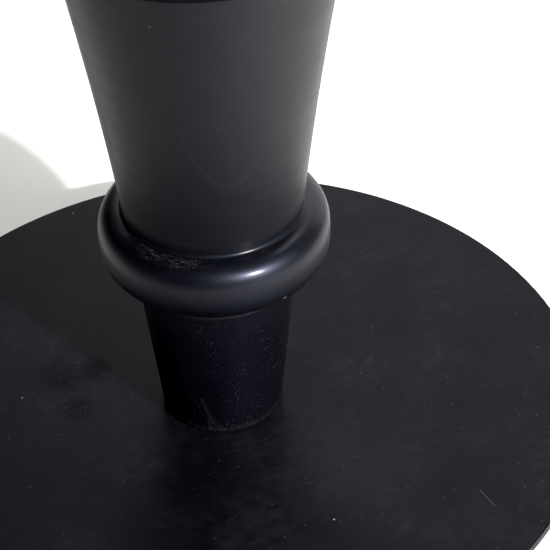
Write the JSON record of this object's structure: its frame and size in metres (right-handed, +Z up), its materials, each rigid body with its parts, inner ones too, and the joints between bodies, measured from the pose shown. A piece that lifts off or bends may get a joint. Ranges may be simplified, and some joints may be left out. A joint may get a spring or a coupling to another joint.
{
  "type": "round pedestal table",
  "caption": "Round table on a turned column of flared shafts and rounded rings, clamped to a flat round steel base plate that stands on levelling glides.",
  "frame": {"origin": "on the floor, on the axis of the column", "axes": "+Z up along the column; the glides stand on +X, +Y, -X and -Y"},
  "size_m": [0.5999, 0.6, 0.75],
  "materials": {
    "powder_coated_steel": "matt black powder coat",
    "lacquered_column": "turned wood in satin black lacquer",
    "lacquered_top": "turned wood in satin black lacquer",
    "zinc_plated_steel": "bright zinc plate",
    "nylon_pad": "moulded black nylon"
  },
  "bodies": {
    "table": {"base_plate": "powder_coated_steel", "glide_bosses": "powder_coated_steel", "foot": "lacquered_column", "lower_ring": "lacquered_column", "lower_shaft": "lacquered_column", "middle_ring": "lacquered_column", "upper_shaft": "lacquered_column", "upper_ring": "lacquered_column", "neck": "lacquered_column", "mounting_plate": "powder_coated_steel", "table_top": "lacquered_top", "tie_rod": "zinc_plated_steel", "bottom_washer": "zinc_plated_steel", "bottom_nut": "zinc_plated_steel", "top_washer": "zinc_plated_steel", "top_nut": "zinc_plated_steel", "foot_screws": "zinc_plated_steel", "neck_screws": "zinc_plated_steel", "top_screws": "zinc_plated_steel"},
    "glide_1_foot": {"glide_pad_1": "nylon_pad"},
    "glide_1_screw": {"glide_stem_1": "zinc_plated_steel"},
    "glide_2_foot": {"glide_pad_2": "nylon_pad"},
    "glide_2_screw": {"glide_stem_2": "zinc_plated_steel"},
    "glide_3_foot": {"glide_pad_3": "nylon_pad"},
    "glide_3_screw": {"glide_stem_3": "zinc_plated_steel"},
    "glide_4_foot": {"glide_pad_4": "nylon_pad"},
    "glide_4_screw": {"glide_stem_4": "zinc_plated_steel"}
  },
  "joints": [
    {"name": "glide_1_height", "type": "slide", "parent": "table", "child": "glide_1_foot", "axis": [0, 0, -1], "range_m": [0, 0.004]},
    {"name": "glide_1_turn", "type": "hinge", "parent": "glide_1_foot", "child": "glide_1_screw", "pos_m": [0.175, 0, 0.01], "axis": [0, 0, -1], "range_deg": [0, 1152.01]},
    {"name": "glide_2_height", "type": "slide", "parent": "table", "child": "glide_2_foot", "axis": [0, 0, -1], "range_m": [0, 0.004]},
    {"name": "glide_2_turn", "type": "hinge", "parent": "glide_2_foot", "child": "glide_2_screw", "pos_m": [0, 0.175, 0.01], "axis": [0, 0, -1], "range_deg": [0, 1152.01]},
    {"name": "glide_3_height", "type": "slide", "parent": "table", "child": "glide_3_foot", "axis": [0, 0, -1], "range_m": [0, 0.004]},
    {"name": "glide_3_turn", "type": "hinge", "parent": "glide_3_foot", "child": "glide_3_screw", "pos_m": [-0.175, 0, 0.01], "axis": [0, 0, -1], "range_deg": [0, 1152.01]},
    {"name": "glide_4_height", "type": "slide", "parent": "table", "child": "glide_4_foot", "axis": [0, 0, -1], "range_m": [0, 0.004]},
    {"name": "glide_4_turn", "type": "hinge", "parent": "glide_4_foot", "child": "glide_4_screw", "pos_m": [0, -0.175, 0.01], "axis": [0, 0, -1], "range_deg": [0, 1152.01]}
  ],
  "couplings": [
    {"joint": "glide_1_turn", "follows": "glide_1_height", "rad_per_m": 5026.6},
    {"joint": "glide_2_turn", "follows": "glide_2_height", "rad_per_m": 5026.6},
    {"joint": "glide_3_turn", "follows": "glide_3_height", "rad_per_m": 5026.6},
    {"joint": "glide_4_turn", "follows": "glide_4_height", "rad_per_m": 5026.6}
  ]
}
